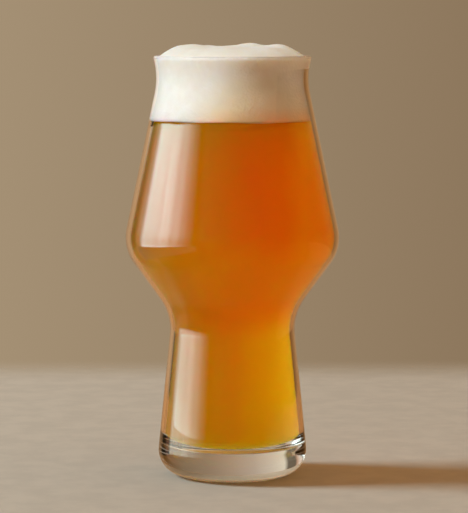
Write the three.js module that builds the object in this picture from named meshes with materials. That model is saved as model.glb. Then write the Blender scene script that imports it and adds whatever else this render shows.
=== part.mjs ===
// Waisted beer glass for pale ales, served full: a clear vessel of one piece of glass, the beer in it,
// and the foam head that stands a little above the rim.
// Millimetres, +Z up. The origin is on the table, at the middle of the foot.
import * as THREE from "three";

// Outer wall: where straight stretches of the side would meet before their corners are rounded.
// Each height is that of one stretch, counted from the stretch below it.
const FOOT_RADIUS = 32.8;
const WAIST_RADIUS = 25.9;
const BULGE_RADIUS = 46.8;
const NECK_RADIUS = 31.6;
const RIM_RADIUS = 33.6;
const STALK_HEIGHT = 68.8;
const FLARE_HEIGHT = 28.8;
const BOWL_HEIGHT = 72.0;
const LIP_HEIGHT = 9.4;

// Rounding of those corners, on the outside of the glass.
const FOOT_ROUNDING = 11.0;
const WAIST_ROUNDING = 22.5;
const BULGE_ROUNDING = 18.8;
const NECK_ROUNDING = 32.0;

// Glass thickness along each stretch, and of the solid base under the drink.
const STALK_WALL = 2.2;
const FLARE_WALL = 2.0;
const BOWL_WALL = 2.0;
const LIP_WALL = 1.8;
const BASE_THICKNESS = 12.3;
const WELL_ROUNDING = 6.0;

// Underside: a flat ring to stand on, round a shallow hollow.
const STANDING_RING_WIDTH = 4.5;
const PUNT_DEPTH = 1.2;

// The drink. The head is measured from the beer to the rim, and the crown from the rim up.
const HEAD_DEPTH = 27.4;
const CROWN_HEIGHT = 3.9;
const CROWN_FULLNESS = 5;
const CROWN_SEAT_DROP = 0.9;
const BILLOW_HEIGHT = 1.5;
const CLEARANCE = 0.3;

// Soft lumps on the crown. Place and reach are shares of the crown's radius, and rise a share of the height.
const BILLOWS = [
  { x: -0.72, y: -0.05, reach: 0.5, rise: 1 },
  { x: 0.24, y: 0.05, reach: 0.3, rise: 0.93 },
  { x: 0.67, y: -0.05, reach: 0.3, rise: 1 },
  { x: -0.1, y: -0.61, reach: 0.32, rise: 0.3 },
  { x: 0.16, y: 0.61, reach: 0.36, rise: 0.5 },
  { x: -0.42, y: 0.51, reach: 0.32, rise: 0.5 },
  { x: 0.48, y: -0.55, reach: 0.26, rise: 0.45 },
];

// Fineness of the faceted surfaces. An arc's chords stay this near to it.
const SEGMENTS = 60;
const CHORD_ERROR = 0.06;
const PUNT_STEPS = 4;
const CROWN_RINGS = 9;

const HEIGHT = STALK_HEIGHT + FLARE_HEIGHT + BOWL_HEIGHT + LIP_HEIGHT;
const BEER_LEVEL = HEIGHT - HEAD_DEPTH;
const CROWN_SEAT = HEIGHT - CROWN_SEAT_DROP;

// A profile point is a Vector2 of radius and height.
const point = (radius, height) => new THREE.Vector2(radius, height);

// The outer side from foot to rim, as corners still sharp.
const OUTER_CORNERS = [
  point(FOOT_RADIUS, 0),
  point(WAIST_RADIUS, STALK_HEIGHT),
  point(BULGE_RADIUS, STALK_HEIGHT + FLARE_HEIGHT),
  point(NECK_RADIUS, STALK_HEIGHT + FLARE_HEIGHT + BOWL_HEIGHT),
  point(RIM_RADIUS, HEIGHT),
];
const OUTER_ROUNDINGS = [FOOT_ROUNDING, WAIST_ROUNDING, BULGE_ROUNDING, NECK_ROUNDING];
const WALLS = [STALK_WALL, FLARE_WALL, BOWL_WALL, LIP_WALL];

// Where the lines through a, b and through c, d cross.
function crossing(a, b, c, d) {
  const along = b.clone().sub(a);
  const other = d.clone().sub(c);
  const share = c.clone().sub(a).cross(other) / along.cross(other);
  return a.clone().addScaledVector(along, share);
}

// The corners of the side moved inwards by the wall of each stretch plus an extra gap, over a floor.
function insetCorners(floor, gap) {
  const stretches = WALLS.map((wall, i) => {
    const [low, high] = [OUTER_CORNERS[i], OUTER_CORNERS[i + 1]];
    const along = high.clone().sub(low).normalize();
    const inwards = point(-along.y, along.x).multiplyScalar(wall + gap);
    return [low.clone().add(inwards), high.clone().add(inwards)];
  });
  const levels = [floor, HEIGHT].map((z) => [point(0, z), point(1, z)]);
  const lines = [levels[0], ...stretches, levels[1]];
  return lines.slice(1).map((line, i) => crossing(...lines[i], ...line));
}

// The rounding of each inset corner: tighter inside the bulge, wider round the waist and the neck.
function insetRoundings(gap) {
  return [
    WELL_ROUNDING,
    WAIST_ROUNDING + FLARE_WALL + gap,
    BULGE_ROUNDING - FLARE_WALL - gap,
    NECK_ROUNDING + BOWL_WALL + gap,
  ];
}

// Half of the angle between a corner and its two neighbours.
function halfAngle(before, corner, after) {
  return before.clone().sub(corner).angleTo(after.clone().sub(corner)) / 2;
}

// The points of an arc that rounds a corner between its neighbours, starting a setback away from it.
function roundedCorner(before, corner, after, setback) {
  const half = halfAngle(before, corner, after);
  const radius = setback * Math.tan(half);
  const back = before.clone().sub(corner).normalize();
  const ahead = after.clone().sub(corner).normalize();
  const middle = back.clone().add(ahead).normalize();
  const centre = corner.clone().addScaledVector(middle, radius / Math.sin(half));
  const spoke = corner.clone().addScaledVector(back, setback).sub(centre);
  const turn = (Math.PI - 2 * half) * Math.sign(middle.cross(spoke));
  const step = 2 * Math.acos(1 - Math.min(1, CHORD_ERROR / radius));
  const steps = Math.max(2, Math.round(Math.abs(turn) / step));
  return Array.from({ length: steps + 1 }, (_, i) =>
    spoke.clone().rotateAround(point(0, 0), (turn * i) / steps).add(centre),
  );
}

// A path through corners, with a rounding for each corner that has one. Its two ends stay sharp.
// Two roundings that want more than the side between them share it.
function roundedPath(corners, roundings) {
  const wanted = corners.map((corner, i) =>
    roundings[i] ? roundings[i] / Math.tan(halfAngle(corners[i - 1], corner, corners[i + 1])) : 0,
  );
  const fitting = corners.slice(1).map((corner, i) =>
    Math.min(1, (0.98 * corner.distanceTo(corners[i])) / (wanted[i] + wanted[i + 1])),
  );
  return corners.flatMap((corner, i) => {
    if (!wanted[i]) return [corner];
    const setback = wanted[i] * Math.min(fitting[i - 1], fitting[i]);
    return roundedCorner(corners[i - 1], corner, corners[i + 1], setback);
  });
}

// The inside of the vessel from the middle of its floor up to the rim, set in by an extra gap.
function insidePath(gap) {
  const floor = BASE_THICKNESS + gap;
  const corners = [point(0, floor), ...insetCorners(floor, gap)];
  return roundedPath(corners, [0, ...insetRoundings(gap)]);
}

// Where a rising path comes to a height: how many of its points are lower, and the point itself.
function arrival(path, height) {
  const lower = path.findIndex((p) => p.y >= height);
  const [a, b] = [path[lower - 1], path[lower]];
  return { lower, at: a.clone().lerp(b, (height - a.y) / (b.y - a.y)) };
}

// A closed profile turned about the Z axis.
function revolve(profile) {
  return new THREE.LatheGeometry(profile, SEGMENTS).rotateX(Math.PI / 2);
}

// The underside from its middle to the standing ring, a shallow dome.
function puntPath(ringInside) {
  return Array.from({ length: PUNT_STEPS + 1 }, (_, i) => {
    const share = i / PUNT_STEPS;
    return point(ringInside * share, PUNT_DEPTH * (1 - share * share));
  });
}

// The vessel: underside, outer side, rounded rim and inside, in one loop from axis to axis.
function vesselGeometry() {
  const inside = insidePath(0);
  const rimInside = inside.at(-1);
  const rimRounding = LIP_WALL / 2;
  const loop = [point(0, 0), ...OUTER_CORNERS, rimInside, inside.at(-2)];
  const side = roundedPath(loop, [0, ...OUTER_ROUNDINGS, rimRounding, rimRounding]).slice(1, -1);
  const ringInside = side[0].x - STANDING_RING_WIDTH;
  return revolve([...puntPath(ringInside), ...side, ...inside.slice(0, -1).reverse()]);
}

// The beer: what fills the inside up to its level.
function beerGeometry() {
  const inside = insidePath(CLEARANCE);
  const top = arrival(inside, BEER_LEVEL);
  return revolve([...inside.slice(0, top.lower), top.at, point(0, BEER_LEVEL)]);
}

// How full the crown stands at a share of its radius: one over most of it, nothing at its edge.
const fullness = (share) => 1 - share ** CROWN_FULLNESS;

// How high the lumps rise at x, y, as shares of the crown's radius.
function billows(x, y) {
  return BILLOWS.reduce((sum, lump) => {
    const away = Math.hypot(x - lump.x, y - lump.y) / lump.reach;
    return sum + BILLOW_HEIGHT * lump.rise * Math.max(0, 1 - away * away) ** 2;
  }, 0);
}

// The foam head: a plug that follows the neck from the beer to the rim, with a lumpy dome on top.
function foamGeometry() {
  const inside = insidePath(CLEARANCE);
  const floor = BEER_LEVEL + CLEARANCE;
  const [foot, seat] = [arrival(inside, floor), arrival(inside, CROWN_SEAT)];
  const wall = [foot.at, ...inside.slice(foot.lower, seat.lower), seat.at];
  const edge = seat.at.x;
  const dome = Array.from({ length: CROWN_RINGS }, (_, i) => {
    const share = Math.sqrt(1 - (i + 1) / CROWN_RINGS);
    return point(edge * share, CROWN_SEAT + (CROWN_SEAT_DROP + CROWN_HEIGHT) * fullness(share));
  });
  const geometry = revolve([point(0, floor), ...wall, ...dome]);
  const position = geometry.getAttribute("position");
  for (let i = 0; i < position.count; i++) {
    const [x, y, z] = [position.getX(i) / edge, position.getY(i) / edge, position.getZ(i)];
    if (z > CROWN_SEAT) position.setZ(i, z + billows(x, y) * fullness(Math.hypot(x, y)));
  }
  return geometry;
}

const clearGlass = new THREE.MeshStandardMaterial({
  color: 0xe6ebe8,
  roughness: 0.05,
  metalness: 0,
  transparent: true,
  opacity: 0.3,
});
const amberBeer = new THREE.MeshStandardMaterial({ color: 0xc06408, roughness: 0.1, metalness: 0 });
const creamFoam = new THREE.MeshStandardMaterial({ color: 0xf4ecdb, roughness: 0.85, metalness: 0 });

// A mesh with its node's name.
function named(name, geometry, material) {
  const mesh = new THREE.Mesh(geometry, material);
  mesh.name = name;
  return mesh;
}

const filledGlass = new THREE.Group();
filledGlass.add(
  named("glass_vessel", vesselGeometry(), clearGlass),
  named("beer", beerGeometry(), amberBeer),
  named("foam_head", foamGeometry(), creamFoam),
);

export default filledGlass;
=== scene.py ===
"""A filled beer glass on a plain pale floor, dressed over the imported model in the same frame.

Metres, +Z up, with the origin under the middle of the foot. The photograph looks along +Y.
"""
import math

import bpy
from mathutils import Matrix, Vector, noise


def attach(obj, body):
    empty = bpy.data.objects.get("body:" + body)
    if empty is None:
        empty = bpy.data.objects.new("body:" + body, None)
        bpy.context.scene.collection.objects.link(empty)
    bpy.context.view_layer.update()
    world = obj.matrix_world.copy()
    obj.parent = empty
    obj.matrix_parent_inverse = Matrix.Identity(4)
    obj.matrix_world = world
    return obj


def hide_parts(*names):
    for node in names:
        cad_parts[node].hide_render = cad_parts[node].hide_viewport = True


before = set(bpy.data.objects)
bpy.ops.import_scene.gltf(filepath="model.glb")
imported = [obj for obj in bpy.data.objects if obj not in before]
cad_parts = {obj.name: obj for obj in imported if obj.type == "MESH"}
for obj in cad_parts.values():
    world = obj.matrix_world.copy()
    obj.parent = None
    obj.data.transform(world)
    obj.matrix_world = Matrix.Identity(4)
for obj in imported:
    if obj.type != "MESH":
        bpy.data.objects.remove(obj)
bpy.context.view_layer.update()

MM = 0.001

# Outer wall, as in the solids: radius and height of the corners of its straight stretches, and roundings.
OUTER_CORNERS = [
    (32.8 * MM, 0.0),
    (25.9 * MM, 68.8 * MM),
    (46.8 * MM, 97.6 * MM),
    (31.6 * MM, 169.6 * MM),
    (33.6 * MM, 179.0 * MM),
]
OUTER_ROUNDINGS = [11.0 * MM, 22.5 * MM, 18.8 * MM, 32.0 * MM]
WALLS = [2.2 * MM, 2.0 * MM, 2.0 * MM, 1.8 * MM]
BASE_THICKNESS = 12.3 * MM
WELL_ROUNDING = 6.0 * MM
STANDING_RING_WIDTH = 4.5 * MM
PUNT_DEPTH = 1.2 * MM
HEIGHT = OUTER_CORNERS[-1][1]

# The beer. A thin gap keeps it clear of the glass, so that the wall shows at its edges.
HEAD_DEPTH = 27.4 * MM
BEER_LEVEL = HEIGHT - HEAD_DEPTH
LEVEL_TOLERANCE = 0.01 * MM
RIPPLE = 0.3 * MM
FILM = 0.1 * MM

# The foam. It wets the glass, except at the right below the lip, where it draws back a little.
WETTING = 0.08 * MM
CROWN_SEAT = HEIGHT - 0.9 * MM
CROWN_RISE = 4.8 * MM
CROWN_FULLNESS = 5
FROTH_HEIGHT = 0.25 * MM
FROTH_SCALE = 180
DRY_GAP = 0.25 * MM
DRY_SIDE = (0.4, 0.9)
DRY_HEIGHTS = (CROWN_SEAT - 3 * MM, CROWN_SEAT - 7 * MM)

# Soft lumps on the crown: x, y and reach as shares of its radius, and rise as a share of their height.
BILLOW_HEIGHT = 1.5 * MM
BILLOWS = [
    (-0.72, -0.05, 0.5, 1.0),
    (0.24, 0.05, 0.3, 0.93),
    (0.67, -0.05, 0.3, 1.0),
    (-0.1, -0.61, 0.32, 0.3),
    (0.16, 0.61, 0.36, 0.5),
    (-0.42, 0.51, 0.32, 0.5),
    (0.48, -0.55, 0.26, 0.45),
]

# Fineness of the turned surfaces, and how much of a side two roundings may share.
SEGMENTS = 160
ARC_STEP = math.radians(4)
WALL_STEP = 4 * MM
FOAM_STEP = 1 * MM
PUNT_STEPS = 12
CROWN_RINGS = 48
SIDE_SHARE = 0.98

# The camera stands where the photograph was taken from. The picture's height is measured at the glass.
CAMERA_AWAY = 1.165
CAMERA_HEIGHT = 0.199
CAMERA_ASIDE = 0.00068
AIM_HEIGHT = 0.0936
FRAME_HEIGHT = 0.2177
SENSOR_HEIGHT = 24.0

# Beer colours from left to right, with painted light and shade: in the bowl, the flare below it and the
# stalk.
BEER_SPAN = 45 * MM
BEER_DRIFT = 7 * MM
BOWL_COLOURS = (
    (0.08, (0.92, 0.29, 0.003)),
    (0.33, (0.95, 0.335, 0.003)),
    (0.50, (0.93, 0.26, 0.003)),
    (0.63, (0.92, 0.195, 0.003)),
    (0.74, (0.91, 0.19, 0.002)),
    (0.83, (0.92, 0.245, 0.002)),
    (0.93, (0.86, 0.18, 0.001)),
)
FLARE_COLOURS = (
    (0.17, (0.98, 0.33, 0.003)),
    (0.50, (0.97, 0.275, 0.003)),
    (0.95, (0.97, 0.21, 0.003)),
)
STALK_COLOURS = (
    (0.25, (0.84, 0.38, 0.004)),
    (0.50, (0.875, 0.385, 0.004)),
    (0.78, (0.94, 0.56, 0.006)),
)

# Heights at which the stalk's colours turn into the flare's, and the flare's into the bowl's.
STALK_TO_FLARE = (58 * MM, 76 * MM)
FLARE_TO_BOWL = (86 * MM, 106 * MM)

# Tints of the beer in places: low in the stalk, at its floor, in its lower right corner, at the waterline.
LOW_COLOUR = (0.93, 0.33, 0.004)
LOW_HEIGHTS = (BASE_THICKNESS, 32 * MM)
# Painted light: the beer is paler at the floor of the glass.
PAINTED_FOOT_LIGHT = (0.98, 0.66, 0.20)
FOOT_HEIGHTS = (BASE_THICKNESS, BASE_THICKNESS + 3 * MM)
# Painted light: a glow of focused light in the stalk's lower right corner.
PAINTED_CORNER_GLOW = (1.0, 0.62, 0.16)
CORNER_ASIDE = (12 * MM, 28 * MM)
CORNER_HEIGHTS = (34 * MM, 14 * MM)
# Painted shade: a darker line at the top of the beer, under the foam.
PAINTED_WATERLINE_SHADE = (0.30, 0.09, 0.002)
WATERLINE_DEPTH = 0.8 * MM
WATERLINE_SHARE = 0.3

# Colours of the foam from its foot up, and how far the painted light from the left lifts them, left to right.
# The colours are painted light and shade: a glow of beer light at the foot, tan shade, and cream where lit.
FOAM_SPAN = 32 * MM
FOAM_DRIFT = 1.2 * MM
FOAM_COLOURS = (
    (0.1, (0.95, 0.66, 0.38)),
    (0.3, (0.93, 0.75, 0.50)),
    (0.6, (0.91, 0.80, 0.61)),
    (1.0, (0.95, 0.895, 0.81)),
)
FOAM_LIFT = ((0.12, 1.0), (0.5, 0.1), (0.66, 0.0), (0.95, 0.35))

# Foam tints: painted beer glow at its foot, painted shade on the crown, dull in its clouds and painted shade.
PAINTED_BEER_GLOW_ON_FOAM = (0.97, 0.50, 0.14)
PAINTED_GLOW_LEVEL = 0.22
PAINTED_GLOW_SHARE = 0.75
PAINTED_GLOW_ASIDE = (0.3, 0.6)
# Painted shade: the crown is greyer and cooler than the lit foam below it.
CROWN_FOAM = (0.85, 0.85, 0.77)
CROWN_HEIGHTS = (HEIGHT - 1 * MM, HEIGHT + 1 * MM)
DULL_AND_SHADED_FOAM = (0.70, 0.58, 0.40)
# Painted shade on the foam: where it sets in from the left and the right, its heights below the rim, its
# share.
SHADE_LEFT = (-6 * MM, 14 * MM)
SHADE_RIGHT = (26 * MM, 13 * MM)
SHADE_HEIGHTS = (HEIGHT, HEIGHT - 6 * MM)
SHADE_SHARE = 0.25

# The pale floor: how far off it fades out at the sides, and where it ends at the wall behind.
FLOOR_COLOUR = (0.66, 0.60, 0.50)
FLOOR_SPECKLE = 0.93
FLOOR_REACH = 4.0
FLOOR_DROP = 0.2 * MM
FLOOR_FADE = (1.2, 3.4)
FLOOR_EDGE = (0.29, 0.39)

# The floor for rays that the glass reflects inside, painted with light and shade: lit and shaded beside the
# foot, with a painted glow of beer light under it. The zones before and behind the glass have a painted tint,
# and the distances from the axis and the places in y over which it sets in.
FLOOR_BESIDE = (0.65, 0.62, 0.50)
FLOOR_SHADED = (0.22, 0.18, 0.12)
FLOOR_SIDES = (-14 * MM, 14 * MM)
FLOOR_GLOW = (1.0, 0.50, 0.10)
FLOOR_GLOW_REACH = (34 * MM, 42 * MM)
FLOOR_GLOW_STRENGTH = 0.3
FLOOR_ZONES = (
    ((0.06, 0.03, 0.01), (40 * MM, 50 * MM), (30 * MM, 0.0)),
    ((0.60, 0.30, 0.11), (90 * MM, 120 * MM), (0.0, 30 * MM)),
)

# Warm light that comes back from the room on all sides, weakest from the left and strongest from the right.
ROOM_COLOUR = (1.0, 0.58, 0.28)
ROOM_LIGHT = 0.42
ROOM_LIGHT_THROUGH_GLASS = 0.60
ROOM_SIDES = (0.65, 1.25)

# The wall from far left to far right, low and high. The eye sees its middle, and the glass shows the rest.
WALL_IN_VIEW = (0.45, 0.55)
WALL_RISE = (0.05, 0.1)
DARK_LOW = (0.085, 0.062, 0.035)
DARK_HIGH = (0.145, 0.12, 0.085)
WALL_LOW = (
    (0.09, (0.70, 0.38, 0.25)),
    (0.125, DARK_LOW),
    (0.19, DARK_LOW),
    (0.23, (0.54, 0.30, 0.14)),
    (0.42, (0.48, 0.29, 0.15)),
    (0.45, (0.38, 0.285, 0.18)),
    (0.55, (0.26, 0.18, 0.105)),
    (0.59, (0.54, 0.33, 0.17)),
    (0.66, (0.42, 0.20, 0.07)),
    (0.80, (0.20, 0.08, 0.02)),
)
WALL_HIGH = (
    (0.07, (1.0, 0.85, 0.70)),
    (0.105, (0.62, 0.38, 0.25)),
    (0.125, DARK_HIGH),
    (0.19, DARK_HIGH),
    (0.22, (0.76, 0.66, 0.50)),
    (0.30, (0.62, 0.51, 0.39)),
    (0.40, (0.47, 0.36, 0.27)),
    (0.50, (0.39, 0.275, 0.185)),
    (0.60, (0.30, 0.205, 0.13)),
    (0.75, (0.23, 0.155, 0.088)),
    (0.92, (0.16, 0.06, 0.01)),
)

# The room's near side in reflections: where it sets in along y, and how much of its light goes.
NEAR_SIDE = (-0.2, 0.5)
NEAR_SIDE_LOSS = 0.9

# The window at the left, and the pane of it that the glass mirrors: how bright it is from near to far and up.
WINDOW_COLOUR = (0.68, 0.88, 1.0)
PANE_COLOUR = (0.86, 1.0, 0.95)
PANE_GLOW = 5.5
PANE_X = -0.5
PANE_Y = (-0.54, 0.255)
PANE_Z = (-0.06, 0.42)
PANE_ALONG = ((0.0, 0.0), (0.15, 0.12), (0.27, 0.35), (0.56, 1.0), (0.9, 0.8), (1.0, 0.05))
PANE_UP = (
    (0.0, 0.1),
    (0.03, 0.55),
    (0.08, 0.88),
    (0.16, 0.78),
    (0.2, 0.62),
    (0.3, 0.6),
    (0.5, 0.8),
    (0.62, 1.0),
)
PANE_FOLDS = 13.0

# Dark cards between that pane and the glass. Each end of a card has a place in y, a lower and an upper edge.
FOAM_CARD_X = -45 * MM
FOAM_CARD_ENDS = (
    (-80 * MM, 171.5 * MM, 190 * MM),
    (-29 * MM, 157 * MM, 190 * MM),
    (12 * MM, 150 * MM, 190 * MM),
)
BULGE_CARD_X = -80 * MM
BULGE_CARD_ENDS = (
    (-120 * MM, 66 * MM, 90.5 * MM),
    (12 * MM, 66 * MM, 90.5 * MM),
)
BULGE_CARD_GLOW = 0.16

# Where most lamps look.
LAMP_AIM = (0.0, 0.0, 0.12)


def rounded_corner(before, corner, after, setback):
    """Points of the arc that rounds a corner between its neighbours."""
    corner = Vector(corner)
    back = (Vector(before) - corner).normalized()
    ahead = (Vector(after) - corner).normalized()
    half = back.angle(ahead) / 2
    radius = setback * math.tan(half)
    middle = (back + ahead).normalized()
    centre = corner + middle * radius / math.sin(half)
    spoke = corner + back * setback - centre
    turn = math.pi - 2 * half
    if middle.x * spoke.y - middle.y * spoke.x < 0:
        turn = -turn
    steps = max(3, round(abs(turn) / ARC_STEP))
    points = []
    for i in range(steps + 1):
        angle = turn * i / steps
        points.append((
            centre.x + spoke.x * math.cos(angle) - spoke.y * math.sin(angle),
            centre.y + spoke.x * math.sin(angle) + spoke.y * math.cos(angle),
        ))
    return points


def rounded_path(corners, roundings):
    """A path through corners, each with its rounding. Two roundings share a side that is short for both."""
    wanted = [0.0] * len(corners)
    for i, rounding in enumerate(roundings):
        if rounding:
            back = Vector(corners[i - 1]) - Vector(corners[i])
            ahead = Vector(corners[i + 1]) - Vector(corners[i])
            wanted[i] = rounding / math.tan(back.angle(ahead) / 2)
    fitting = []
    for i in range(len(corners) - 1):
        side = (Vector(corners[i + 1]) - Vector(corners[i])).length
        needed = wanted[i] + wanted[i + 1]
        fitting.append(min(1.0, SIDE_SHARE * side / needed) if needed else 1.0)
    path = []
    for i, corner in enumerate(corners):
        if wanted[i]:
            setback = wanted[i] * min(fitting[i - 1], fitting[i])
            path += rounded_corner(corners[i - 1], corner, corners[i + 1], setback)
        else:
            path.append(tuple(corner))
    return path


def crossing(a, b, c, d):
    """Where the lines through a, b and through c, d cross."""
    a, b, c, d = Vector(a), Vector(b), Vector(c), Vector(d)
    along, other = b - a, d - c
    apart = c - a
    share = (apart.x * other.y - apart.y * other.x) / (along.x * other.y - along.y * other.x)
    return tuple(a + along * share)


def inside_path(gap):
    """The inside of the glass from the middle of its floor to the rim, set in by an extra gap."""
    floor = BASE_THICKNESS + gap
    lines = [((0.0, floor), (1.0, floor))]
    for wall, low, high in zip(WALLS, OUTER_CORNERS, OUTER_CORNERS[1:]):
        along = (Vector(high) - Vector(low)).normalized()
        inwards = Vector((-along.y, along.x)) * (wall + gap)
        lines.append((Vector(low) + inwards, Vector(high) + inwards))
    lines.append(((0.0, HEIGHT), (1.0, HEIGHT)))
    corners = [(0.0, floor)]
    for one, two in zip(lines, lines[1:]):
        corners.append(crossing(*one, *two))
    roundings = [
        0,
        WELL_ROUNDING,
        OUTER_ROUNDINGS[1] + WALLS[1] + gap,
        OUTER_ROUNDINGS[2] - WALLS[1] - gap,
        OUTER_ROUNDINGS[3] + WALLS[2] + gap,
        0,
    ]
    return rounded_path(corners, roundings)


def point_at(path, height):
    """Where a rising path comes to a height."""
    for a, b in zip(path, path[1:]):
        if a[1] <= height <= b[1] and b[1] > a[1]:
            share = (height - a[1]) / (b[1] - a[1])
            return (a[0] + (b[0] - a[0]) * share, height)
    raise ValueError("The path doesn't come to this height.")


def between(path, low, high):
    """The part of a rising path between two heights, with a point at each."""
    return [point_at(path, low)] + [p for p in path if low < p[1] < high] + [point_at(path, high)]


def finely(path, step):
    """A path with points added so that no stretch is longer than a step."""
    fine = [path[0]]
    for a, b in zip(path, path[1:]):
        count = max(1, math.ceil(math.dist(a, b) / step))
        for i in range(1, count + 1):
            fine.append((a[0] + (b[0] - a[0]) * i / count, a[1] + (b[1] - a[1]) * i / count))
    return fine


def share_between(value, low, high):
    """How far a value has come from low to high, held between nothing and one."""
    return min(1.0, max(0.0, (value - low) / (high - low)))


def new_object(name, data):
    """An object of the scene that holds a mesh, a lamp or a camera."""
    holder = bpy.data.objects.new(name, data)
    bpy.context.scene.collection.objects.link(holder)
    return holder


def turned(name, profile):
    """A closed body turned from a profile that starts and ends on the axis."""
    rings = profile[1:-1]
    vertices = [(0.0, 0.0, profile[0][1])]
    for radius, height in rings:
        for i in range(SEGMENTS):
            angle = 2 * math.pi * i / SEGMENTS
            vertices.append((radius * math.cos(angle), radius * math.sin(angle), height))
    vertices.append((0.0, 0.0, profile[-1][1]))
    last = len(vertices) - 1
    faces = []
    for i in range(SEGMENTS):
        j = (i + 1) % SEGMENTS
        faces.append((0, 1 + j, 1 + i))
        for ring in range(len(rings) - 1):
            low = 1 + ring * SEGMENTS
            high = low + SEGMENTS
            faces.append((low + i, low + j, high + j, high + i))
        top = 1 + (len(rings) - 1) * SEGMENTS
        faces.append((last, top + i, top + j))
    mesh = bpy.data.meshes.new(name)
    mesh.from_pydata(vertices, [], faces)
    mesh.validate()
    mesh.shade_smooth()
    return new_object(name, mesh)


def place(piece, material, node):
    """Gives a piece its material, hangs it on the root body and hides the part that it stands for."""
    piece.data.materials.append(material)
    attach(piece, "root")
    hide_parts(node)


def new_material(name):
    """A material with its tree and its shader."""
    material = bpy.data.materials.new(name)
    material.use_nodes = True
    tree = material.node_tree
    return material, tree, tree.nodes["Principled BSDF"]


def set_inputs(node, **values):
    """Sets inputs of a shader node by their names. Underscores stand for spaces."""
    for name, value in values.items():
        node.inputs[name.replace("_", " ")].default_value = value


def add(tree, kind, **values):
    """A new shader node with some of its inputs set."""
    node = tree.nodes.new(kind)
    set_inputs(node, **values)
    return node


def ramp(tree, source, *stops):
    """A colour ramp over a value, with stops of position and colour."""
    node = add(tree, "ShaderNodeValToRGB")
    while len(node.color_ramp.elements) < len(stops):
        node.color_ramp.elements.new(0.5)
    for element, (position, colour) in zip(node.color_ramp.elements, stops):
        element.position = position
        element.color = (*colour, 1.0)
    tree.links.new(source, node.inputs["Fac"])
    return node.outputs["Color"]


def levels(tree, source, *stops):
    """A ramp over a value with stops of position and plain level."""
    return ramp(tree, source, *((position, (level,) * 3) for position, level in stops))


def combine(tree, operation, one, other):
    """Two values put together by one operation."""
    node = add(tree, "ShaderNodeMath")
    node.operation = operation
    for socket, value in zip(node.inputs, (one, other)):
        if isinstance(value, float):
            socket.default_value = value
        else:
            tree.links.new(value, socket)
    return node.outputs[0]


def spread(tree, value, low, high, start=0.0, end=1.0, soft=False):
    """A value brought from one range to another, and held at its ends."""
    node = add(tree, "ShaderNodeMapRange", From_Min=low, From_Max=high, To_Min=start, To_Max=end)
    node.interpolation_type = "SMOOTHSTEP" if soft else "LINEAR"
    tree.links.new(value, node.inputs["Value"])
    return node.outputs["Result"]


def mixed(tree, share, one, other):
    """One colour with a share of another mixed in."""
    node = add(tree, "ShaderNodeMix")
    node.data_type = "RGBA"
    share_in, one_in, other_in = node.inputs[0], node.inputs[6], node.inputs[7]
    tree.links.new(share, share_in)
    for socket, value in ((one_in, one), (other_in, other)):
        if isinstance(value, tuple):
            socket.default_value = (*value, 1.0)
        else:
            tree.links.new(value, socket)
    return node.outputs[2]


def blend(tree, output, share, one, other):
    """Ends a tree in one shader with a share of another mixed in."""
    node = add(tree, "ShaderNodeMixShader")
    tree.links.new(share, node.inputs["Fac"])
    tree.links.new(one.outputs[0], node.inputs[1])
    tree.links.new(other.outputs[0], node.inputs[2])
    tree.links.new(node.outputs[0], tree.nodes[output].inputs["Surface"])


def coordinates(tree, kind="Object"):
    """Where a shaded point is, or for the room which way it lies, as a vector and as its x, y and z."""
    node = add(tree, "ShaderNodeTexCoord")
    split = add(tree, "ShaderNodeSeparateXYZ")
    tree.links.new(node.outputs[kind], split.inputs["Vector"])
    return node.outputs[kind], split.outputs


def grain(tree, where, scale, detail, roughness=0.5):
    """Even noise over a piece."""
    node = add(tree, "ShaderNodeTexNoise", Scale=scale, Detail=detail, Roughness=roughness)
    tree.links.new(where, node.inputs["Vector"])
    return node.outputs["Fac"]


def relief(tree, shader, height, strength, distance):
    """Gives a shader the fine relief of a height."""
    bump = add(tree, "ShaderNodeBump", Strength=strength, Distance=distance)
    tree.links.new(height, bump.inputs["Height"])
    tree.links.new(bump.outputs["Normal"], shader.inputs["Normal"])


def light_path(tree):
    """What a tree can tell about the ray that meets it."""
    return add(tree, "ShaderNodeLightPath").outputs


def before_matt(tree, path):
    """One until a ray has left a matt surface, and nothing after that."""
    return combine(tree, "LESS_THAN", path["Diffuse Depth"], 0.5)


def reflected(tree):
    """One for a ray that has been reflected, and nothing for others."""
    return combine(tree, "GREATER_THAN", light_path(tree)["Glossy Depth"], 0.5)


def clear_glass():
    """Polished clear glass, with a trace of waviness from the furnace."""
    material, tree, shader = new_material("clear_glass")
    set_inputs(shader, Base_Color=(0.985, 0.995, 0.99, 1.0), Roughness=0.0, IOR=1.51, Transmission_Weight=1.0)
    where, _ = coordinates(tree)
    waves = grain(tree, where, scale=28.0, detail=1.0, roughness=0.4)
    relief(tree, shader, waves, strength=0.03, distance=0.002)
    return material


def stalk_colour(tree, at, across):
    """Golden beer: redder low down, painted pale light at its floor and a painted glow in its lower right
    corner.
    """
    colour = ramp(tree, across, *STALK_COLOURS)
    colour = mixed(tree, spread(tree, at["Z"], *LOW_HEIGHTS), LOW_COLOUR, colour)
    colour = mixed(tree, spread(tree, at["Z"], *FOOT_HEIGHTS), PAINTED_FOOT_LIGHT, colour)
    aside = spread(tree, at["X"], *CORNER_ASIDE)
    low = spread(tree, at["Z"], *CORNER_HEIGHTS)
    return mixed(tree, combine(tree, "MULTIPLY", aside, low), colour, PAINTED_CORNER_GLOW)


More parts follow.
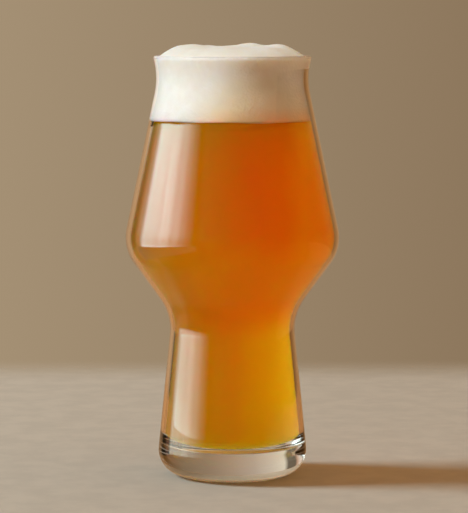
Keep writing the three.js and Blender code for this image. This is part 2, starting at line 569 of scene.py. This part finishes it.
def beer_colour(tree):
    """Painted light and shade: golden in the stalk, amber in the flare, red-orange in the bowl, darker at the
    waterline.
    """
    where, at = coordinates(tree)
    cloudy = grain(tree, where, scale=26.0, detail=3.0, roughness=0.55)
    drift = spread(tree, cloudy, 0.0, 1.0, -BEER_DRIFT, BEER_DRIFT)
    across = spread(tree, combine(tree, "ADD", at["X"], drift), -BEER_SPAN, BEER_SPAN)
    up = combine(tree, "ADD", at["Z"], drift)
    # The colours across the beer are painted light and shade, standing in for how far light travels through
    # it.
    flare = ramp(tree, across, *FLARE_COLOURS)
    bowl = ramp(tree, across, *BOWL_COLOURS)
    colour = mixed(tree, spread(tree, up, *STALK_TO_FLARE, soft=True), stalk_colour(tree, at, across), flare)
    colour = mixed(tree, spread(tree, up, *FLARE_TO_BOWL, soft=True), colour, bowl)
    waterline = spread(tree, at["Z"], BEER_LEVEL - WATERLINE_DEPTH, BEER_LEVEL, 0.0, WATERLINE_SHARE)
    return mixed(tree, waterline, colour, PAINTED_WATERLINE_SHADE)


def hazy_beer():
    """Hazy amber beer: light travels far in it, red the farthest."""
    material, tree, shader = new_material("hazy_beer")
    tree.links.new(beer_colour(tree), shader.inputs["Base Color"])
    set_inputs(shader, Roughness=0.25, Specular_IOR_Level=0.0)
    set_inputs(shader, Subsurface_Weight=1.0, Subsurface_Radius=(1.0, 0.4, 0.03), Subsurface_Scale=0.12)
    set_inputs(shader, Subsurface_Anisotropy=0.3)
    return material


def foam_shade(tree, at):
    """Painted shade on the foam, right of the middle and below the rim."""
    from_left = spread(tree, at["X"], *SHADE_LEFT, soft=True)
    from_right = spread(tree, at["X"], *SHADE_RIGHT, soft=True)
    below_rim = spread(tree, at["Z"], *SHADE_HEIGHTS, 0.0, SHADE_SHARE)
    return combine(tree, "MULTIPLY", combine(tree, "MULTIPLY", from_left, from_right), below_rim)


def foam_colour(tree, where, at):
    """Cream, painted lit at the left, with a painted beer glow low at the right, and dull in clouds and
    shade.
    """
    drift = spread(tree, grain(tree, where, scale=90.0, detail=3.0), 0.0, 1.0, -FOAM_DRIFT, FOAM_DRIFT)
    level = spread(tree, combine(tree, "ADD", at["Z"], drift), BEER_LEVEL, HEIGHT)
    across = spread(tree, at["X"], -FOAM_SPAN, FOAM_SPAN)
    colour = ramp(tree, combine(tree, "ADD", level, levels(tree, across, *FOAM_LIFT)), *FOAM_COLOURS)
    # Painted light: a glow of beer light in the foam just above the beer, at the right.
    near_beer = spread(tree, level, 0.0, PAINTED_GLOW_LEVEL, PAINTED_GLOW_SHARE, 0.0)
    at_right = spread(tree, across, *PAINTED_GLOW_ASIDE)
    colour = mixed(tree, combine(tree, "MULTIPLY", near_beer, at_right), colour, PAINTED_BEER_GLOW_ON_FOAM)
    colour = mixed(tree, spread(tree, at["Z"], *CROWN_HEIGHTS), colour, CROWN_FOAM)
    froth = spread(tree, grain(tree, where, scale=240.0, detail=5.0, roughness=0.6), 0.35, 0.65, 0.0, 0.14)
    clouds = spread(tree, grain(tree, where, scale=55.0, detail=4.0, roughness=0.6), 0.42, 0.66, 0.0, 0.12)
    dull = combine(tree, "ADD", combine(tree, "ADD", froth, clouds), foam_shade(tree, at))
    return mixed(tree, dull, colour, DULL_AND_SHADED_FOAM)


def cream_foam():
    """Dense foam with fine bubbles."""
    material, tree, shader = new_material("cream_foam")
    where, at = coordinates(tree)
    tree.links.new(foam_colour(tree, where, at), shader.inputs["Base Color"])
    set_inputs(shader, Roughness=0.7)
    set_inputs(shader, Subsurface_Weight=0.6, Subsurface_Radius=(1.0, 0.75, 0.5), Subsurface_Scale=0.006)
    bubbles = add(tree, "ShaderNodeTexVoronoi", Scale=900.0)
    tree.links.new(where, bubbles.inputs["Vector"])
    relief(tree, shader, bubbles.outputs["Distance"], strength=0.35, distance=0.0004)
    return material


def ripple(x, y):
    """How far the waterline rises at x, y."""
    angle = math.atan2(y, x)
    return RIPPLE * (0.6 * math.sin(3 * angle + 1) + 0.4 * math.sin(8 * angle + 2))


def rippled(piece):
    """Moves the points of a piece that lie on the waterline."""
    for vertex in piece.data.vertices:
        if abs(vertex.co.z - BEER_LEVEL) < LEVEL_TOLERANCE:
            vertex.co.z += ripple(vertex.co.x, vertex.co.y)


def vessel():
    """The glass: underside, outer side, rounded rim and inside."""
    inside = inside_path(0.0)
    rim = WALLS[-1] / 2
    loop = [(0.0, 0.0), *OUTER_CORNERS, inside[-1], inside[-2]]
    side = rounded_path(loop, [0, *OUTER_ROUNDINGS, rim, rim, 0])[1:-1]
    ring_inside = side[0][0] - STANDING_RING_WIDTH
    punt = []
    for i in range(PUNT_STEPS + 1):
        punt.append((ring_inside * i / PUNT_STEPS, PUNT_DEPTH * (1 - (i / PUNT_STEPS) ** 2)))
    piece = turned("drinking_glass", finely(punt + side + inside[-2::-1], WALL_STEP))
    place(piece, clear_glass(), "glass_vessel")


def beer():
    """The beer, up to the foam."""
    inside = inside_path(FILM)
    below = [p for p in inside if p[1] <= inside[0][1]]
    wall = between(inside, below[-1][1], BEER_LEVEL)
    piece = turned("hazy_beer", finely(below + wall[1:] + [(0.0, BEER_LEVEL)], WALL_STEP))
    rippled(piece)
    place(piece, hazy_beer(), "beer")
    return piece


def fullness(share):
    """How full the crown stands at a share of its radius."""
    return 1 - min(1.0, share) ** CROWN_FULLNESS


def billows(x, y):
    """How high the lumps rise at x, y, as shares of the crown's radius."""
    total = 0.0
    for at_x, at_y, reach, rise in BILLOWS:
        away = math.hypot(x - at_x, y - at_y) / reach
        total += BILLOW_HEIGHT * rise * max(0.0, 1 - away * away) ** 2
    return total


def foam():
    """The foam head: up the neck along the wall, then a lumpy dome that leaves the wall below the rim."""
    wall = between(inside_path(-WETTING), BEER_LEVEL, CROWN_SEAT)
    edge = wall[-1][0]
    dome = []
    for i in range(CROWN_RINGS):
        share = math.sqrt(1 - (i + 1) / CROWN_RINGS)
        dome.append((edge * share, CROWN_SEAT + CROWN_RISE * fullness(share)))
    piece = turned("foam_head_billowed", finely([(0.0, BEER_LEVEL), *wall], FOAM_STEP) + dome)
    rippled(piece)
    for vertex in piece.data.vertices:
        x, y, z = vertex.co
        if z > CROWN_SEAT:
            full = fullness(math.hypot(x, y) / edge)
            vertex.co.z = z + full * billows(x / edge, y / edge)
            vertex.co.z += full * FROTH_HEIGHT * noise.noise(vertex.co * FROTH_SCALE)
        dry = share_between(x / edge, *DRY_SIDE) * share_between(z, *DRY_HEIGHTS)
        vertex.co.x -= x / edge * dry * DRY_GAP
        vertex.co.y -= y / edge * dry * DRY_GAP
    place(piece, cream_foam(), "foam_head")
    return piece


def sheet(name, corners, material):
    """A flat piece of the studio between four corners."""
    mesh = bpy.data.meshes.new(name)
    mesh.from_pydata(corners, [], [(0, 1, 2, 3)])
    mesh.materials.append(material)
    piece = new_object(name, mesh)
    return piece


def floor_as_reflected(tree, at, away):
    """The floor's colour for rays reflected inside the glass, with painted light and shade."""
    colour = mixed(tree, spread(tree, at["X"], *FLOOR_SIDES), FLOOR_BESIDE, FLOOR_SHADED)
    for tint, distances, places in FLOOR_ZONES:
        part = combine(tree, "MULTIPLY", spread(tree, away, *distances), spread(tree, at["Y"], *places))
        colour = mixed(tree, part, colour, tint)
    return colour


def pale_floor():
    """A matt pale table top. It ends softly at the wall behind the glass, and far off at the sides."""
    material, tree, shader = new_material("pale_floor")
    where, at = coordinates(tree)
    length = add(tree, "ShaderNodeVectorMath")
    length.operation = "LENGTH"
    tree.links.new(where, length.inputs[0])
    away = length.outputs["Value"]

    darker = tuple(FLOOR_SPECKLE * part for part in FLOOR_COLOUR)
    speckle = spread(tree, grain(tree, where, scale=60.0, detail=6.0, roughness=0.6), 0.4, 0.6)
    plain = mixed(tree, speckle, darker, FLOOR_COLOUR)
    # Rays reflected inside the glass see painted light and shade here, and a painted glow of beer light near
    # the foot.
    mirrored = reflected(tree)
    colour = mixed(tree, mirrored, plain, floor_as_reflected(tree, at, away))
    tree.links.new(colour, shader.inputs["Base Color"])
    glow = spread(tree, away, *FLOOR_GLOW_REACH, FLOOR_GLOW_STRENGTH, 0.0)
    tree.links.new(combine(tree, "MULTIPLY", mirrored, glow), shader.inputs["Emission Strength"])
    set_inputs(shader, Emission_Color=(*FLOOR_GLOW, 1.0), Roughness=0.9, Specular_IOR_Level=0.1)

    beside = spread(tree, away, *FLOOR_FADE, soft=True)
    behind = spread(tree, at["Y"], *FLOOR_EDGE, soft=True)
    clear = add(tree, "ShaderNodeBsdfTransparent")
    blend(tree, "Material Output", combine(tree, "MAXIMUM", beside, behind), shader, clear)
    return material


def stage():
    """A wide pale floor just under the foot. The outside of the glass doesn't mirror it."""
    corners = []
    for x, y in ((-1, -1), (1, -1), (1, 1), (-1, 1)):
        corners.append((x * FLOOR_REACH, y * FLOOR_REACH, -FLOOR_DROP))
    floor = sheet("floor", corners, pale_floor())
    floor.visible_glossy = False
    return floor


def upright(x, near, far):
    """Corners of an upright sheet. Each of its two ends has a place in y, a lower and an upper edge."""
    (near_y, near_low, near_high), (far_y, far_low, far_high) = near, far
    return [(x, near_y, near_low), (x, far_y, far_low), (x, far_y, far_high), (x, near_y, near_high)]


def mirrored_sheet(name, corners, material):
    """A flat piece of the studio that only reflected and refracted rays see. It casts no shadow."""
    piece = sheet(name, corners, material)
    piece.visible_camera = False
    piece.visible_diffuse = False
    piece.visible_shadow = False


def pane_glow():
    """Window light with soft folds, brightest high up, that dies away towards the camera."""
    material, tree, _ = new_material("pane_glow")
    _, at = coordinates(tree)
    along = spread(tree, at["Y"], *PANE_Y)
    up = spread(tree, at["Z"], *PANE_Z)
    curtain = add(tree, "ShaderNodeTexNoise", Scale=PANE_FOLDS)
    curtain.noise_dimensions = "1D"
    tree.links.new(along, curtain.inputs["W"])
    folds = spread(tree, curtain.outputs["Fac"], 0.3, 0.7, 0.75, 1.15)
    strength = before_matt(tree, light_path(tree))
    for part in (levels(tree, along, *PANE_ALONG), levels(tree, up, *PANE_UP), folds, PANE_GLOW):
        strength = combine(tree, "MULTIPLY", strength, part)
    glow = add(tree, "ShaderNodeEmission", Color=(*PANE_COLOUR, 1.0))
    tree.links.new(strength, glow.inputs["Strength"])
    tree.links.new(glow.outputs[0], tree.nodes["Material Output"].inputs["Surface"])
    return material


def window_pane():
    """The window as the glass mirrors it. It reaches below the table, for the stalk to mirror it too."""
    near, far = [(y, *PANE_Z) for y in PANE_Y]
    mirrored_sheet("window_pane", upright(PANE_X, near, far), pane_glow())


def dark_card(name, x, near, far, glow=0.0):
    """An upright card, dark or nearly so, that only reflected rays meet."""
    material, tree, _ = new_material(name)
    clear = add(tree, "ShaderNodeBsdfTransparent")
    dark = add(tree, "ShaderNodeEmission", Strength=glow)
    blend(tree, "Material Output", reflected(tree), clear, dark)
    mirrored_sheet(name, upright(x, near, far), material)


def dark_cards():
    """Two cards, end to end, that keep the window off the foam, and one that ends it at the bulge."""
    near, middle, far = FOAM_CARD_ENDS
    dark_card("near_card", FOAM_CARD_X, near, middle)
    dark_card("far_card", FOAM_CARD_X, middle, far)
    dark_card("bulge_card", BULGE_CARD_X, *BULGE_CARD_ENDS, BULGE_CARD_GLOW)


def softbox(name, at, size, watts, colour, aim=LAMP_AIM):
    """A rectangular soft light that looks from one point at another."""
    lamp = bpy.data.lights.new(name, "AREA")
    lamp.shape = "RECTANGLE"
    lamp.size, lamp.size_y = size
    lamp.energy = watts
    lamp.color = colour
    holder = new_object(name, lamp)
    holder.location = at
    holder.rotation_euler = (Vector(aim) - Vector(at)).to_track_quat("-Z", "Y").to_euler()
    holder.visible_camera = False
    return holder


def group(name, pieces):
    """A collection of pieces for a lamp to tell apart."""
    collection = bpy.data.collections.new(name)
    for piece in pieces:
        collection.objects.link(piece)
    return collection


def shine_on(lamp, piece, blockers=()):
    """Lets a lamp light one piece alone. Where blockers are given, only they shade it. No glass shows it."""
    lamp.light_linking.receiver_collection = group(lamp.name + "_lit", [piece])
    if blockers:
        lamp.light_linking.blocker_collection = group(lamp.name + "_shade", blockers)
    lamp.visible_glossy = False
    lamp.visible_transmission = False


def window_light(drink, head, floor):
    """The cool window at the left, with a lamp for each thing that it falls on."""
    on_foam = softbox(
        "window_on_foam", at=(-2.1, -0.9, 1.45), size=(1.2, 1.2), watts=74.0, colour=(0.75, 0.87, 0.98),
    )
    shine_on(on_foam, head, [head, drink])
    on_floor = softbox(
        "window_on_floor", at=(-2.35, 0.1, 1.45), size=(0.8, 0.8), watts=68.0, colour=WINDOW_COLOUR,
    )
    shine_on(on_floor, floor)
    through_beer = softbox(
        "window_through_beer", at=(-2.1, -1.1, 1.35), size=(1.2, 1.2), watts=13.5, colour=WINDOW_COLOUR,
    )
    shine_on(through_beer, drink, [floor])


def beer_light(drink, head, floor):
    """Warm light in the beer: from behind at the right, from low beside the foot and from below in front."""
    behind = softbox(
        "behind", at=(0.45, 0.75, 0.30), size=(0.6, 0.6), watts=7.6, colour=(1.0, 0.85, 0.6),
    )
    shine_on(behind, drink, [floor])
    low_glow = softbox(
        "low_glow", at=(85 * MM, 35 * MM, 8 * MM), size=(0.03, 0.03), watts=0.024, colour=(1.0, 0.72, 0.4),
        aim=(30 * MM, 0.0, 15 * MM),
    )
    shine_on(low_glow, drink, [floor])
    fill = softbox(
        "fill", at=(0.12, -0.75, -0.25), size=(0.6, 0.6), watts=3.6, colour=(1.0, 0.9, 0.6),
    )
    shine_on(fill, drink, [head])


def foam_light(head, floor):
    """Light on the foam from above at the right, from low at the right and from the beer at its foot."""
    overhead = softbox(
        "overhead", at=(0.5, -0.1, 0.8), size=(0.5, 0.5), watts=1.2, colour=(0.76, 0.96, 1.0),
    )
    shine_on(overhead, head, [head])
    warm_side = softbox(
        "warm_side", at=(0.35, -0.55, -0.1), size=(0.4, 0.4), watts=0.12, colour=(1.0, 0.55, 0.22),
    )
    shine_on(warm_side, head, [floor])
    beer_glow = softbox(
        "beer_glow", at=(29 * MM, -37 * MM, BEER_LEVEL - 2 * MM), size=(50 * MM, 4 * MM), watts=0.0009,
        colour=(1.0, 0.42, 0.12), aim=(20 * MM, -29 * MM, BEER_LEVEL + 2 * MM),
    )
    shine_on(beer_glow, head, [floor])


def rim_light():
    """A light high up that only shiny surfaces mirror, for a glint on the rim."""
    rim_glint = softbox(
        "rim_glint", at=(0.12, -0.2, 0.9), size=(0.3, 0.3), watts=2.0, colour=(0.8, 0.93, 1.0),
    )
    rim_glint.visible_diffuse = False
    rim_glint.visible_transmission = False


def even_light(tree, path, rightwards):
    """The room's warm light on matt surfaces."""
    shader = tree.nodes["Background"]
    set_inputs(shader, Color=(*ROOM_COLOUR, 1.0))
    level = spread(tree, path["Transmission Depth"], 0.0, 1.0, ROOM_LIGHT, ROOM_LIGHT_THROUGH_GLASS)
    side = spread(tree, rightwards, 0.0, 1.0, *ROOM_SIDES)
    tree.links.new(combine(tree, "MULTIPLY", level, side), shader.inputs["Strength"])
    return shader


def wall_light(tree, path, towards, rightwards):
    """The wall. In reflections the room's near side is dark, and half as dark after two of them."""
    shader = add(tree, "ShaderNodeBackground")
    in_view = spread(tree, rightwards, *WALL_IN_VIEW, *WALL_IN_VIEW)
    sideways = mixed(tree, path["Is Camera Ray"], rightwards, in_view)
    height = spread(tree, towards["Z"], *WALL_RISE)
    colour = mixed(tree, height, ramp(tree, sideways, *WALL_LOW), ramp(tree, sideways, *WALL_HIGH))
    tree.links.new(colour, shader.inputs["Color"])
    loss = spread(tree, towards["Y"], *NEAR_SIDE, -NEAR_SIDE_LOSS, 0.0)
    loss = combine(tree, "MULTIPLY", loss, path["Is Glossy Ray"])
    loss = combine(tree, "MULTIPLY", loss, spread(tree, path["Glossy Depth"], 1.0, 2.0, 1.0, 0.5))
    tree.links.new(combine(tree, "ADD", loss, 1.0), shader.inputs["Strength"])
    return shader


def room():
    """Even light for matt surfaces, and a wall for the eye and the glass."""
    world = bpy.data.worlds.new("room")
    world.use_nodes = True
    tree = world.node_tree
    path = light_path(tree)
    _, towards = coordinates(tree, "Generated")
    rightwards = spread(tree, towards["X"], -1.0, 1.0)
    even = even_light(tree, path, rightwards)
    wall = wall_light(tree, path, towards, rightwards)
    seen = path["Is Camera Ray"]
    for kind in ("Is Glossy Ray", "Is Transmission Ray"):
        seen = combine(tree, "MAXIMUM", seen, path[kind])
    seen = combine(tree, "MULTIPLY", seen, before_matt(tree, path))
    blend(tree, "World Output", seen, even, wall)
    bpy.context.scene.world = world


def camera():
    """The photograph's view: just above the rim, a little down."""
    lens = bpy.data.cameras.new("camera")
    lens.sensor_fit = "VERTICAL"
    lens.sensor_height = SENSOR_HEIGHT
    lens.lens = SENSOR_HEIGHT * CAMERA_AWAY / FRAME_HEIGHT
    holder = new_object("camera", lens)
    holder.location = (CAMERA_ASIDE, -CAMERA_AWAY, CAMERA_HEIGHT)
    pitch = math.atan2(CAMERA_HEIGHT - AIM_HEIGHT, CAMERA_AWAY)
    holder.rotation_euler = (math.pi / 2 - pitch, 0.0, 0.0)
    bpy.context.scene.camera = holder


vessel()
drink = beer()
head = foam()
floor = stage()
window_pane()
dark_cards()
window_light(drink, head, floor)
beer_light(drink, head, floor)
foam_light(head, floor)
rim_light()
room()
camera()
bpy.context.scene.view_settings.view_transform = "Standard"
